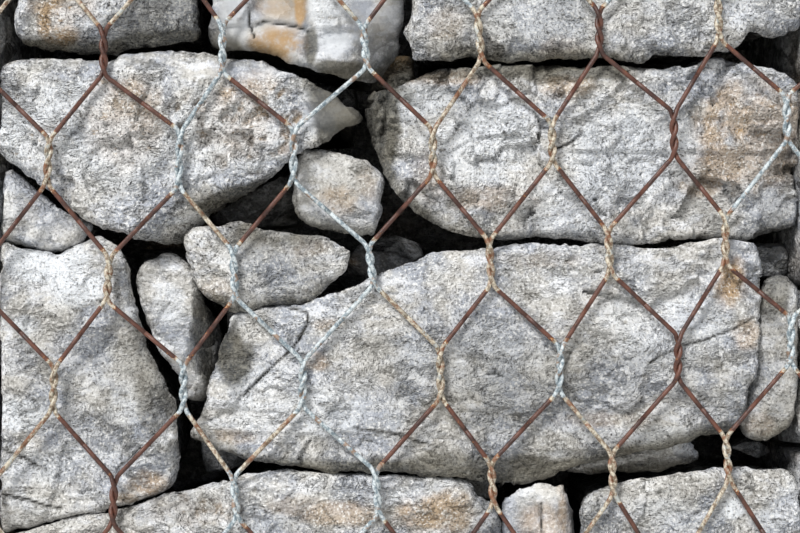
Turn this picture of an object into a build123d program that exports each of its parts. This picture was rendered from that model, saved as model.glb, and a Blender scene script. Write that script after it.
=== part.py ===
"""One whole bay of a gabion wall, a basket of double-twist wire mesh packed with limestone, in millimetres.

Frame: X along the wall, -Y is the front, +Z up. The origin is the middle of the footprint, at ground level.
"""

import os
from math import atan2, hypot, radians, sin, cos, tan
from random import Random

from build123d import *

# The basket, outside to outside of its wires.
LENGTH = 1000.0
DEPTH = 300.0
HEIGHT = 500.0

# The mesh, known as 8 x 10: hexagons 80 wide, with two wires twisted round each other at each upright side.
MESH = 80.0
TWIST = 36.0
RISE = 38.0
WIRE = 3.0
EDGE_WIRE = 4.0

# The stones. Those of the middle reach this far to each side, and the packing behind gaps starts this far in.
JOINT = 0.3
FACE_HALF = 262.0
DRESS = 14.0
PACKED_FROM = 55.0

CLEAR = 0.3
PITCH = TWIST + RISE

# The room for the stones inside the mesh, and half its length and depth.
ROOM_X = LENGTH / 2 - WIRE - 2 * CLEAR
ROOM_Y = DEPTH / 2 - WIRE - CLEAR
ROOM_LOW = WIRE + CLEAR
ROOM_HIGH = HEIGHT - WIRE - CLEAR
TOP = HEIGHT / 2 - ROOM_LOW
LOW = -TOP

os.makedirs("parts", exist_ok=True)


def save(solid, name):
    """Label a finished piece and write its file."""
    solid.label = name
    export_step(solid, f"parts/{name}.step")


# The basket.
def net(width, height, shift_x=0.0, shift_y=0.0):
    """The flat pattern of one mesh panel, its twists upright, inside a frame of edge wire."""
    half = MESH / 2
    # A wire's side stands this far along the twist from its middle line where it leans.
    drop = WIRE / 2 * hypot(half, RISE) / half
    side = half - WIRE
    shoulder = TWIST / 2 + RISE * WIRE / half - drop
    tip = TWIST / 2 + RISE - drop
    opening = [(side, -shoulder), (side, shoulder), (0, tip), (-side, shoulder), (-side, -shoulder), (0, -tip)]
    columns = 2 * int(width / MESH / 2) + 3
    rows = 2 * int(height / PITCH / 4) + 3
    with BuildSketch() as openings:
        with Locations((shift_x, shift_y)):
            with GridLocations(MESH, 2 * PITCH, columns, rows):
                Polygon(*opening, align=None)
        with Locations((shift_x + half, shift_y + PITCH)):
            with GridLocations(MESH, 2 * PITCH, columns, rows):
                Polygon(*opening, align=None)
        Rectangle(width - 2 * EDGE_WIRE, height - 2 * EDGE_WIRE, mode=Mode.INTERSECT)
    with BuildSketch() as panel:
        Rectangle(width, height)
        add(openings.sketch, mode=Mode.SUBTRACT)
    return panel.sketch


# The front and the back reach the full length and height. The twists in front stand where the photo has them.
side_net = net(LENGTH, HEIGHT, MESH / 4, -5.0)

with BuildPart() as front_mesh:
    with BuildSketch(Plane.XZ.offset(DEPTH / 2 - WIRE)):
        with Locations((0, HEIGHT / 2)):
            add(side_net)
    extrude(amount=WIRE)
save(front_mesh.part, "front_mesh")

with BuildPart() as back_mesh:
    with BuildSketch(Plane.XZ.offset(-DEPTH / 2)):
        with Locations((0, HEIGHT / 2)):
            add(side_net)
    extrude(amount=WIRE)
save(back_mesh.part, "back_mesh")

# The ends stand between the front and the back.
end_net = net(DEPTH - 2 * WIRE - 2 * CLEAR, HEIGHT)

with BuildPart() as left_end_mesh:
    with BuildSketch(Plane.YZ.offset(-LENGTH / 2)):
        with Locations((0, HEIGHT / 2)):
            add(end_net)
    extrude(amount=WIRE)
save(left_end_mesh.part, "left_end_mesh")

with BuildPart() as right_end_mesh:
    with BuildSketch(Plane.YZ.offset(LENGTH / 2 - WIRE)):
        with Locations((0, HEIGHT / 2)):
            add(end_net)
    extrude(amount=WIRE)
save(right_end_mesh.part, "right_end_mesh")

# The base and the lid lie inside the four sides.
flat_net = net(LENGTH - 2 * WIRE - 2 * CLEAR, DEPTH - 2 * WIRE - 2 * CLEAR, MESH / 4)

with BuildPart() as base_mesh:
    with BuildSketch(Plane.XY):
        add(flat_net)
    extrude(amount=WIRE)
save(base_mesh.part, "base_mesh")

with BuildPart() as lid_mesh:
    with BuildSketch(Plane.XY.offset(HEIGHT - WIRE)):
        add(flat_net)
    extrude(amount=WIRE)
save(lid_mesh.part, "lid_mesh")


# The stones.
def block(plane, outline, depth, rng):
    """One stone, its outline drawn on the plane of its seen face and run back, its edges knocked off."""
    xs = [x for x, _ in outline]
    ys = [y for _, y in outline]
    centre = ((min(xs) + max(xs)) / 2, (min(ys) + max(ys)) / 2)
    half = ((max(xs) - min(xs)) / 2, (max(ys) - min(ys)) / 2)
    with BuildPart() as stone:
        with BuildSketch(plane) as face:
            Polygon(*outline, align=None)
            offset(amount=-JOINT / 2, kind=Kind.INTERSECTION)
        extrude(amount=-depth)
        # Chips off the edges and corners of the seen face, each at its own slope. Those off corners bite deeper.
        for turn in range(0, 360, 45):
            bearing = radians(turn + rng.uniform(-15, 15))
            reach = half[0] * abs(cos(bearing)) + half[1] * abs(sin(bearing))
            slope = radians(rng.uniform(48, 66))
            bite = rng.uniform(0.4, 1.0) * DRESS * (1 if turn % 90 == 0 else 2)
            local = Vector(cos(bearing) * sin(slope), sin(bearing) * sin(slope), cos(slope))
            out = reach - bite
            edge = Vector(centre[0] + cos(bearing) * out, centre[1] + sin(bearing) * out, 0)
            normal = plane.x_dir * local.X + plane.y_dir * local.Y + plane.z_dir * local.Z
            cut = Plane(origin=plane.from_local_coords(edge), z_dir=normal)
            split(bisect_by=cut, keep=Keep.BOTTOM)
    return stone.part


def course_lines(low, high, count, rng):
    """Bed joints from low to high, each as its heights at the two ends."""
    step = (high - low) / count
    beds = [(low, low)]
    for i in range(1, count):
        level = low + i * step + rng.uniform(-0.1, 0.1) * step
        tilt = rng.uniform(-0.09, 0.09) * step
        beds.append((level - tilt, level + tilt))
    beds.append((high, high))
    return beds


def coursed(left, right, beds, widths, rng):
    """Outlines of the stones of each course between two upright lines, with leaning joints and lost corners."""
    span = right - left

    def on_bed(bed, x):
        return (x, bed[0] + (bed[1] - bed[0]) * (x - left) / span)

    courses = []
    for (under, over), shares in zip(zip(beds, beds[1:]), widths):
        heads = [(left, left)]
        place = left
        for share in shares[:-1]:
            place += span * share / sum(shares)
            lean = rng.uniform(-12, 12)
            heads.append((place - lean, place + lean))
        heads.append((right, right))
        row = []
        for start, end in zip(heads, heads[1:]):
            lower = [on_bed(under, start[0]), on_bed(under, end[0])]
            corners = lower + [on_bed(over, end[1]), on_bed(over, start[1])]
            outline = []
            for i, corner in enumerate(corners):
                for other in (corners[i - 1], corners[(i + 1) % 4]):
                    run = hypot(other[0] - corner[0], other[1] - corner[1])
                    part = min(rng.uniform(8, 30) / run, 0.4)
                    outline.append((corner[0] + (other[0] - corner[0]) * part,
                                    corner[1] + (other[1] - corner[1]) * part))
            row.append(outline)
        courses.append(row)
    return courses


def lay(name, plane, outlines, depth, seed, stretch=1.0):
    """Write one course of stones as one file, its outlines stretched along the wall."""
    rng = Random(seed)
    with BuildPart() as course:
        for outline in outlines:
            add(block(plane, [(x * stretch, y) for x, y in outline], depth, rng))
    save(course.part, name)


# The middle of the front face. Its outlines are drawn over the photo, in the photo's own pixels, and turned
# into millimetres here. The drawing is stretched to fill the middle of the wall, and so is the packing behind
# its gaps.
PIXEL = 0.646
PHOTO_X, PHOTO_Y = 400, 266.5
LEFT, RIGHT, ABOVE, BELOW = -5, 806, -110, 643


def drawn(outline):
    """An outline in whole millimetres from the middle of the face, as high and as low as the stones' room."""
    points = []
    for x, y in outline:
        height = {ABOVE: TOP, BELOW: LOW}.get(y, round((PHOTO_Y - y) * PIXEL))
        points.append((round((x - PHOTO_X) * PIXEL), height))
    return points


front_face = {
    "front_course_4": [
        [(LEFT, ABOVE), (200, ABOVE), (200, 46), (100, 50), (LEFT, 56)],
        [(200, ABOVE), (404, ABOVE), (404, 44), (371, 70), (312, 69), (262, 48), (212, 46), (200, 46)],
        [(404, ABOVE), (RIGHT, ABOVE), (RIGHT, 28), (752, 28), (745, 50), (650, 62), (440, 58), (404, 54)],
    ],
    "front_course_3": [
        [(LEFT, 80), (25, 62), (100, 50), (200, 46), (212, 46), (275, 62), (310, 80), (356, 112),
         (350, 126), (300, 148), (190, 212), (140, 237), (118, 231), (60, 192), (LEFT, 158)],
        [(352, 92), (385, 74), (440, 58), (650, 62), (745, 62), (RIGHT, 80), (RIGHT, 230), (740, 240),
         (640, 244), (540, 242), (431, 236), (397, 225), (386, 201), (386, 172), (362, 135), (356, 112)],
        [(300, 148), (318, 150), (368, 160), (386, 172), (383, 218), (372, 234), (352, 238), (296, 214),
         (292, 178)],
    ],
    "front_course_2": [
        [(LEFT, 158), (12, 170), (78, 214), (88, 236), (66, 250), (40, 252), (LEFT, 243)],
        [(LEFT, 243), (40, 252), (66, 250), (88, 236), (120, 258), (135, 300), (170, 388), (174, 455),
         (166, 492), (60, 518), (LEFT, 535)],
        [(133, 266), (150, 255), (180, 262), (190, 274), (195, 300), (213, 330), (205, 390), (190, 405),
         (178, 385), (155, 342), (135, 300)],
        [(182, 241), (200, 228), (240, 225), (300, 231), (352, 238), (345, 250), (306, 300), (262, 306),
         (240, 309), (205, 291), (190, 274)],
        [(190, 430), (245, 325), (262, 306), (306, 300), (330, 299), (440, 250), (540, 242), (640, 244),
         (740, 242), (765, 246), (768, 280), (762, 340), (745, 410), (735, 435), (640, 453), (588, 461),
         (566, 478), (500, 488), (440, 481), (300, 468), (230, 455)],
        [(768, 280), (785, 270), (RIGHT, 275), (RIGHT, 432), (775, 445), (750, 430), (757, 380), (768, 330)],
    ],
    "front_course_1": [
        [(LEFT, 535), (60, 518), (166, 492), (240, 478), (330, 476), (440, 481), (490, 492), (503, 503),
         (506, BELOW), (LEFT, BELOW)],
        [(503, 503), (520, 490), (545, 487), (570, 495), (578, 515), (584, BELOW), (506, BELOW)],
        [(566, 478), (588, 461), (640, 453), (700, 446), (716, 468), (640, 477), (590, 482)],
        [(587, BELOW), (587, 502), (600, 487), (640, 477), (700, 473), (780, 471), (RIGHT, 482), (RIGHT, BELOW)],
    ],
}

stretch = FACE_HALF / round((RIGHT - PHOTO_X) * PIXEL)
front_plane = Plane(origin=(0, -ROOM_Y, HEIGHT / 2), x_dir=(1, 0, 0), z_dir=(0, -1, 0))
for seed, (name, outlines) in enumerate(front_face.items()):
    lay(name, front_plane, [drawn(outline) for outline in outlines], ROOM_Y - JOINT / 2, seed, stretch)

# Smaller stones packed behind the gaps of the front face.
packing = [
    [(-131, 36), (-129, 25), (-103, 27), (-72, 23.7), (-72, 68)],
    [(-33, 9), (-29, 15), (-12, 21), (-3, 22), (14, 16), (17, 6.9), (-38, -17.8), (-44, -8)],
    [(-143, -97), (-139, -97), (-138, -108), (-114, -123), (-104, -137.2), (-146, -145.1), (-144, -123)],
    [(-127, -20), (-106, -30), (-100, -38), (-117, -70), (-119, -42)],
    [(203, -122), (217, -113), (226, -110), (242, -118), (261, -110), (261, -138.6), (245, -132), (206, -132.8)],
    [(-54, 124), (-23, 124), (-31, 115), (-31, 102), (-54, 117.3)],
]
packed_plane = front_plane.offset(-PACKED_FROM)
lay("front_packing", packed_plane, packing, ROOM_Y - JOINT / 2 - PACKED_FROM, 8, stretch)

# The middle of the back face, in four plain courses.
back_plane = Plane(origin=(0, ROOM_Y, HEIGHT / 2), x_dir=(-1, 0, 0), z_dir=(0, 1, 0))
rng = Random(20)
beds = course_lines(LOW, TOP, 4, rng)
rows = coursed(-FACE_HALF, FACE_HALF, beds, [[5, 6], [4, 3, 5], [6, 4], [3, 4, 4]], rng)
for i, outlines in enumerate(rows):
    lay(f"back_course_{i + 1}", back_plane, outlines, ROOM_Y - JOINT / 2, 30 + i)

# The two ends, each stone reaching in as far as the middle stones.
end_depth = ROOM_X - FACE_HALF - JOINT / 2
for side, face, inward in (("left", -ROOM_X, -1), ("right", ROOM_X, 1)):
    end_plane = Plane(origin=(face, 0, HEIGHT / 2), x_dir=(0, inward, 0), z_dir=(inward, 0, 0))
    rng = Random(40 + inward)
    beds = course_lines(LOW, TOP, 4, rng)
    rows = coursed(-ROOM_Y, ROOM_Y, beds, [[5, 4], [4, 5, 4], [4, 5], [5, 3, 5]], rng)
    for i, outlines in enumerate(rows):
        lay(f"{side}_end_course_{i + 1}", end_plane, outlines, end_depth, 50 + 10 * inward + i)
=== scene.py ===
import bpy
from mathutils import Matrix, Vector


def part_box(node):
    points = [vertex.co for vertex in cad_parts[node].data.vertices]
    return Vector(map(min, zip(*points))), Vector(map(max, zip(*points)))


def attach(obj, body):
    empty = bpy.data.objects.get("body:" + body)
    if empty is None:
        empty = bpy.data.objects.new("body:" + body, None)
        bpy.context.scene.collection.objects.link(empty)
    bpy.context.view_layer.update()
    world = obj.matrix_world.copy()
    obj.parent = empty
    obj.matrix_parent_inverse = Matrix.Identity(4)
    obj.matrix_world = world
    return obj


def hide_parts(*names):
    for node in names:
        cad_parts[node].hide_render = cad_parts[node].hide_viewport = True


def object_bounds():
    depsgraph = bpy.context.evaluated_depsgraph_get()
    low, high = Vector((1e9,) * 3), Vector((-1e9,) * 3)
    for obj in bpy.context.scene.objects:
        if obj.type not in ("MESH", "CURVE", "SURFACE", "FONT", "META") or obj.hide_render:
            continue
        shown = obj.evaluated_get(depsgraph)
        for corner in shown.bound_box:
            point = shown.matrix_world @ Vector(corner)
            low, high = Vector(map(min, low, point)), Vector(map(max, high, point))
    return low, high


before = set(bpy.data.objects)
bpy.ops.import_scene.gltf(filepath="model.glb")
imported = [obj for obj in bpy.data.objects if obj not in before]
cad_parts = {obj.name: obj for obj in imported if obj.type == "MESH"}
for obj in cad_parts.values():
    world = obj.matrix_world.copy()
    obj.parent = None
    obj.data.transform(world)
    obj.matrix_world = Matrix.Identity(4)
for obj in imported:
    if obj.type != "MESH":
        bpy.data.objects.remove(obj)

# One bay of a gabion wall: broken limestone packed in a basket of double-twist steel mesh.
# Lengths are in millimetres until a mesh is made. X runs along the wall, -Y is its front, +Z is up.

import bpy
import numpy as np

MM = 0.001
cad_bounds = [list(corner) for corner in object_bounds()]


# The large stones in the middle of the front face: broken limestone, laid by hand with its best face out. A
# face is a few flat fractures meeting at ridges, roughened by smaller breaks, and its edges are chipped.
# Outlines are drawn over the photo, in its pixels. Places on a stone are in mm from the face's middle.

MIDDLE = (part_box("front_mesh")[0][2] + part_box("front_mesh")[1][2]) / 2 / MM
MESH_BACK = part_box("front_mesh")[1][1] / MM
BASKET = np.array(cad_bounds[1]) / MM
PIXEL = 0.646
PHOTO_MIDDLE = np.array([400, 266.5])
FACE_DEPTH = 2.5
STONE_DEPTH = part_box("front_course_1")[1][1] / MM - MESH_BACK - FACE_DEPTH
GRID = 1.45

# Points set against an outline at one time, so that the arrays stay small.
CHUNK = 4000

# Layers of lumps, each a height and a size. Each stone has its own slice of the noise, APART from the next.
APART = 37.0
EDGE_WAVES = ((1.2, 9), (0.8, 3.6))
EDGE_OUT = 0.9
RIDGE_WAVES = ((5, 42), (1.6, 11))
SPOT_WAVES = ((0.28, 20), (0.16, 6))

# An edge has a chip for every 18 of its points. Pits go this deep, and the stone between them stands out.
CHIP_EVERY = 18
PIT_DEPTH = 4.2
PIT_RIM = 1.4

# A side narrows by some 7 to 15 mm, most of it over the first 45 mm, but not where it shows through the lid.
NARROW_BY = (7, 15)
NARROW_OVER = 45
UNDER_LID = (205, 235)


def lattice(i, j, k, seed):
    """A repeatable number from -1 to 1 for each point of a cubic lattice, by mixing its indices' bits."""
    mixed = (i * 374761393 + j * 668265263 + k * 1274126177 + seed * 974711) & 0xFFFFFFFF
    mixed = ((mixed ^ (mixed >> 13)) * 1103515245) & 0xFFFFFFFF
    return (mixed ^ (mixed >> 16)) / 2147483648.0 - 1.0


def lumps(points, size, seed):
    """Noise from -1 to 1 with lumps of one size: lattice numbers blended along each axis by an S curve."""
    scaled = points / size
    corner = np.floor(scaled).astype(np.int64)
    part = scaled - corner
    part = part * part * part * (part * (part * 6 - 15) + 10)
    total = 0.0
    for dx in (0, 1):
        along_x = part[..., 0] if dx else 1 - part[..., 0]
        for dy in (0, 1):
            along_y = along_x * (part[..., 1] if dy else 1 - part[..., 1])
            for dz in (0, 1):
                along_z = part[..., 2] if dz else 1 - part[..., 2]
                value = lattice(corner[..., 0] + dx, corner[..., 1] + dy, corner[..., 2] + dz, seed)
                total = total + along_y * along_z * value
    return total


TURN = np.array([[0.36, 0.48, -0.8], [-0.8, 0.6, 0.0], [0.48, 0.64, 0.6]])


def waves(points, layers, seed):
    """The sum of layers of lumps, each with its height, its size and a seed of its own."""
    return sum(height * lumps(points, size, seed + layer) for layer, (height, size) in enumerate(layers))


def fractal(points, size, octaves, seed, keep=0.5):
    """Lumps of a size, and of half that size turned round, and so on, each weaker than the last by keep."""
    total, weight = 0.0, 1.0
    for octave in range(octaves):
        total = total + weight * lumps(points, size, seed + octave)
        weight *= keep
        size /= 2.03
        points = points @ TURN
    return total


def rise(value, start, end):
    """0 before start, 1 after end, and a smooth S between them."""
    part = np.clip((value - start) / (end - start), 0, 1)
    return part * part * (3 - 2 * part)


def flats(points, size, seed):
    """Broken flats: space is split into cells round scattered points, and each cell is a plane with a tilt
    and a level of its own, so that neighbours meet in small steps. About -1 to 1."""
    scaled = points / size
    home = np.floor(scaled).astype(np.int64)
    nearest = np.full(len(points), 9.0)
    best_away, best_cell = np.zeros_like(scaled), home
    for step in np.ndindex(3, 3, 3):
        cell = home + np.array(step) - 1
        centre = np.stack([0.5 + 0.45 * lattice(*cell.T, seed + axis) for axis in range(3)], axis=1) + cell
        away = scaled - centre
        distance = (away * away).sum(axis=1)
        closer = (distance < nearest)[:, None]
        nearest = np.minimum(distance, nearest)
        best_away, best_cell = np.where(closer, away, best_away), np.where(closer, cell, best_cell)
    tilt = np.stack([lattice(*best_cell.T, seed + 3 + axis) for axis in range(3)], axis=1)
    return (tilt * best_away).sum(axis=1) + 0.3 * lattice(*best_cell.T, seed + 6)


def broken(points, seed, rough=1.0, ledges=1.0, layers=1.0):
    """How much deeper the broken surface lies at each point, in mm: flats of two sizes with wandering
    edges, and fractal roughness. Layers above 1 stretch it all along X, as bedding does."""
    stretched = points * (1.0 / layers, 1.0, 1.0)
    wander = np.stack([fractal(stretched, 24, 3, seed + 40 + 5 * axis) for axis in range(3)], axis=1)
    big = flats(stretched + 9 * wander, 46, seed)
    small = flats(stretched + 4 * wander, 15, seed + 9)
    grain = fractal(stretched, 22, 6, seed + 23, 0.6)
    return ledges * (5.5 * big + 2.4 * small) + 0.95 * rough * grain


def on_face(spots_seen):
    """Millimetres from the middle of the face, along and up, of places given in the photo's pixels."""
    return (np.array(spots_seen, float) - PHOTO_MIDDLE) * (PIXEL, -PIXEL)


def rounded(outline):
    """The outline with its corners cut and cut again, which turns them into short curves."""
    for part in (0.16, 0.25):
        after = np.roll(outline, -1, axis=0)
        first, second = (1 - part) * outline + part * after, part * outline + (1 - part) * after
        outline = np.stack([first, second], axis=1).reshape(-1, 2)
    return outline


def inside_by(outline, points):
    """How far each point lies inside a closed outline, less than 0 outside, and the direction inwards."""
    start, run = outline, np.roll(outline, -1, axis=0) - outline
    away = points[:, None, :] - start
    part = np.clip((away * run).sum(axis=2) / (run * run).sum(axis=1), 0, 1)
    away = away - part[..., None] * run
    distance = np.hypot(away[..., 0], away[..., 1])
    nearest = distance.argmin(axis=1)
    rows = np.arange(len(points))
    distance, away = distance[rows, nearest], away[rows, nearest]
    x, z = points[:, 0, None], points[:, 1, None]
    crossing = (start[:, 1] > z) != (start[:, 1] + run[:, 1] > z)
    rising = np.where(run[:, 1] == 0, 1e-9, run[:, 1])
    crossing &= x < start[:, 0] + (z - start[:, 1]) / rising * run[:, 0]
    sign = np.where(crossing.sum(axis=1) % 2 == 1, 1.0, -1.0)
    return sign * distance, away * (sign / np.maximum(distance, 1e-6))[:, None]


def reached(seeds, allowed):
    """The cells that can be reached from the seeds by stepping sideways through allowed cells."""
    found = seeds & allowed
    while True:
        wider = found.copy()
        wider[1:] |= found[:-1]
        wider[:-1] |= found[1:]
        wider[:, 1:] |= found[:, :-1]
        wider[:, :-1] |= found[:, 1:]
        wider &= allowed
        if (wider == found).all():
            return found
        found = wider


def whole(cells, middle):
    """One patch of cells round the middle: no holes, no slivers and no two that meet at a corner only."""
    while True:
        ring = np.pad(cells, 1)
        up, down, left, right = ring[2:, 1:-1], ring[:-2, 1:-1], ring[1:-1, :-2], ring[1:-1, 2:]
        sides = up.astype(int) + down + left + right
        touching = (ring[2:, 2:] & ~up & ~right) | (ring[2:, :-2] & ~up & ~left)
        drop = cells & ((sides < 2) | touching)
        if not drop.any():
            break
        cells = cells & ~drop
    cells = reached(middle, cells)
    edge = np.ones_like(cells)
    edge[1:-1, 1:-1] = False
    return ~reached(edge, ~cells)


def buried(points):
    """How far each point lies behind the nearest of the basket's four sides and its lid."""
    return (BASKET - np.abs(points)).min(axis=1)


def spots(places, x, z, warp):
    """The strongest of several soft-edged ovals, each (x, z, half width, half height, strength)."""
    total = np.zeros_like(x)
    for at_x, at_z, wide, high, strength in places:
        far = np.hypot((x - at_x) / wide, (z - at_z) / high) + warp
        total = np.maximum(total, strength * (1 - rise(far, 0.55, 1.15)))
    return total


def to_line(points, x, z):
    """Distance to a line of joined straight runs."""
    nearest = np.full(x.shape, 1e9)
    for (ax, az), (bx, bz) in zip(points, points[1:]):
        run_x, run_z = bx - ax, bz - az
        part = np.clip(((x - ax) * run_x + (z - az) * run_z) / (run_x**2 + run_z**2), 0, 1)
        nearest = np.minimum(nearest, np.hypot(x - ax - part * run_x, z - az - part * run_z))
    return nearest


def in_noise(flat, seed):
    """Where the points of a face lie in the noise: each stone in a slice of its own."""
    return np.stack([flat[:, 0], np.full(len(flat), APART * seed), flat[:, 1]], axis=1)


def face_grid(outline, seed):
    """The front of a stone as a flat grid, cut along its outline with a wavering edge: its points, how far
    each lies inside and which way that is, its four-sided faces, and its open edges."""
    low, high = outline.min(axis=0) - 3 * GRID, outline.max(axis=0) + 3 * GRID
    columns, rows = (np.ceil((high - low) / GRID)).astype(int)
    x, z = np.meshgrid(low[0] + GRID * np.arange(columns), low[1] + GRID * np.arange(rows))
    flat = np.stack([x.ravel(), z.ravel()], axis=1)
    chunks = [inside_by(outline, chunk) for chunk in np.array_split(flat, 1 + len(flat) // CHUNK)]
    inside, inward = (np.concatenate(part) for part in zip(*chunks))
    inside = inside + EDGE_OUT + waves(in_noise(flat, seed), EDGE_WAVES, seed)
    grid_inside = inside.reshape(rows, columns)
    kept = grid_inside > 0
    cells = kept[:-1, :-1] & kept[1:, :-1] & kept[:-1, 1:] & kept[1:, 1:]
    middle = np.zeros_like(cells)
    middle.flat[grid_inside[:-1, :-1].argmax()] = True
    cells = whole(cells, middle)

    # Four corners to a face, anticlockwise as seen from in front.
    corner = np.arange(rows * columns).reshape(rows, columns)
    a, b, c, d = corner[:-1, :-1], corner[:-1, 1:], corner[1:, 1:], corner[1:, :-1]
    quads = np.stack([a[cells], b[cells], c[cells], d[cells]], axis=1)
    ring = np.pad(cells, 1)
    beyond = (ring[:-2, 1:-1], ring[1:-1, 2:], ring[2:, 1:-1], ring[1:-1, :-2])
    bare = [cells & ~neighbour for neighbour in beyond]
    edges = np.concatenate([np.stack([start[open_side], end[open_side]], axis=1)
                            for open_side, (start, end) in zip(bare, ((a, b), (b, c), (c, d), (d, a)))])
    used = np.unique(quads)
    number = np.full(rows * columns, -1)
    number[used] = np.arange(len(used))
    quads, edges = number[quads], number[edges]
    flat, inside, inward = flat[used], inside[used], inward[used]
    rim = np.unique(edges)
    flat[rim] -= inward[rim] * inside[rim, None]
    inside[rim] = 0.0
    return flat, inside, inward, quads, edges, (low + high) / 2


def cut_facets(x, z, depth, facets, rng):
    """Depth of a face, and how dark it is, after its facets have cut it: the deepest of the planes, joined
    softly at the ridges. A facet is (x, z, bearing in degrees, slope), and how dark it is where that isn't
    left to chance; the dark ones marked are painted shade on facets turned from the light."""
    tone = np.full(len(x), rng.uniform(-0.2, 0.2))
    ridge_soft, tone_soft = 0.7, 0.8
    for at_x, at_z, bearing, slope, *marked in facets:
        turn = np.radians(bearing)
        cut = slope * ((x - at_x) * np.cos(turn) + (z - at_z) * np.sin(turn))
        share = 1 / (1 + np.exp(-np.clip((cut - depth) / tone_soft, -30, 30)))
        chance = rng.uniform(-0.7, 0.5)
        tone = tone + ((marked[0] if marked else chance) - tone) * share
        depth = ridge_soft * np.logaddexp(cut / ridge_soft, depth / ridge_soft)
    return depth, tone


def chip_edge(x, z, depth, rim, inward, edge, rng):
    """The depth after hollow chips have bitten the edge. Each starts a few millimetres in, is deepest at the
    edge itself, and curves away to both sides."""
    count = max(4, len(rim) // CHIP_EVERY)
    for start in rim[rng.choice(len(rim), count, replace=False)]:
        in_x, in_z = inward[start]
        reach_in = (x - x[start]) * in_x + (z - z[start]) * in_z
        aside = (x - x[start]) * in_z - (z - z[start]) * in_x
        bite = rng.uniform(0, 2.2 + 0.6 * edge) - reach_in - aside * aside / rng.uniform(20, 120)
        depth = np.maximum(depth, rng.uniform(0.5, 1.4) * bite)
    return depth


def cut_steps(x, z, wander_x, wander_z, depth, steps):
    """The depth with its steps, each (side, line, drop, reach): it drops sharply below the line, or to the
    right of it, and comes back over its reach."""
    sharp = 1.6
    for side, line, drop, reach in steps:
        line_x, line_z = np.array(line, float).T
        if side == "right":
            beyond = x + 0.3 * wander_x - np.interp(z, line_z, line_x)
        else:
            beyond = np.interp(x, line_x, line_z) - z + 0.3 * wander_z
        depth = depth + drop * rise(beyond, 0, sharp) * (1 - rise(beyond, 0.3 * reach, reach))
    return depth


def add_sides(flat, depth, inward, quads, edges, looks, back, ledges, side_rings, spread, seed, rng):
    """A face made a closed skin: rings of points carry its rim back into the wall, rough as the face is,
    while they narrow, and a fan closes the last. Spread sets how the rings crowd towards the front."""
    rim = np.unique(edges)
    rim_x, rim_z = flat[rim].T
    points = [np.stack([flat[:, 0], MESH_BACK + FACE_DEPTH + depth, flat[:, 1] + MIDDLE], axis=1)]
    narrow = rng.uniform(*NARROW_BY) * (1 + 0.4 * lumps(in_noise(flat[rim], seed), 55, seed + 12))
    exposed = rise(rim_z, *UNDER_LID)
    first = len(flat)
    number = np.full(first, -1)
    number[rim] = np.arange(len(rim))
    start, end = number[edges].T
    last_ring = rim
    all_quads = [quads]
    for step, share in enumerate(np.linspace(0, 1, side_rings + 1)[1:] ** spread):
        going = share * (STONE_DEPTH - depth[rim])
        behind = depth[rim] + going
        pull = narrow * (1 - np.exp(-going / NARROW_OVER)) * (1 - exposed)
        side_place = np.stack([rim_x, behind, rim_z], axis=1) + (0, APART * seed, 0)
        pull = pull + rise(going, 0, 12) * (1.5 + 0.8 * broken(side_place, 100 + 7 * seed, 1.0, ledges))
        pull = np.maximum(pull, 0.05)
        side_x, side_z = rim_x + inward[rim, 0] * pull, rim_z + inward[rim, 1] * pull
        points.append(np.stack([side_x, MESH_BACK + FACE_DEPTH + behind, side_z + MIDDLE], axis=1))
        ring = first + step * len(rim) + np.arange(len(rim))
        all_quads.append(np.stack([last_ring[end], last_ring[start], ring[start], ring[end]], axis=1))
        last_ring = ring
        # Deeper in the wall its sides are painted darker: painted shade.
        sunk = buried(points[-1]) - FACE_DEPTH - back
        for look in looks:
            flow = rise(sunk, 8, 28) if look == "grime_and_painted_shade" else looks[look][rim]
            looks[look] = np.concatenate([looks[look], flow])
    points.append(points[-1].mean(axis=0, keepdims=True))
    for look in looks:
        looks[look] = np.append(looks[look], looks[look][-1])
    closing = np.full(len(start), first + side_rings * len(rim))
    fans = np.stack([last_ring[end], last_ring[start], closing], axis=1)
    return np.concatenate(points), np.concatenate(all_quads), fans, looks


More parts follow.
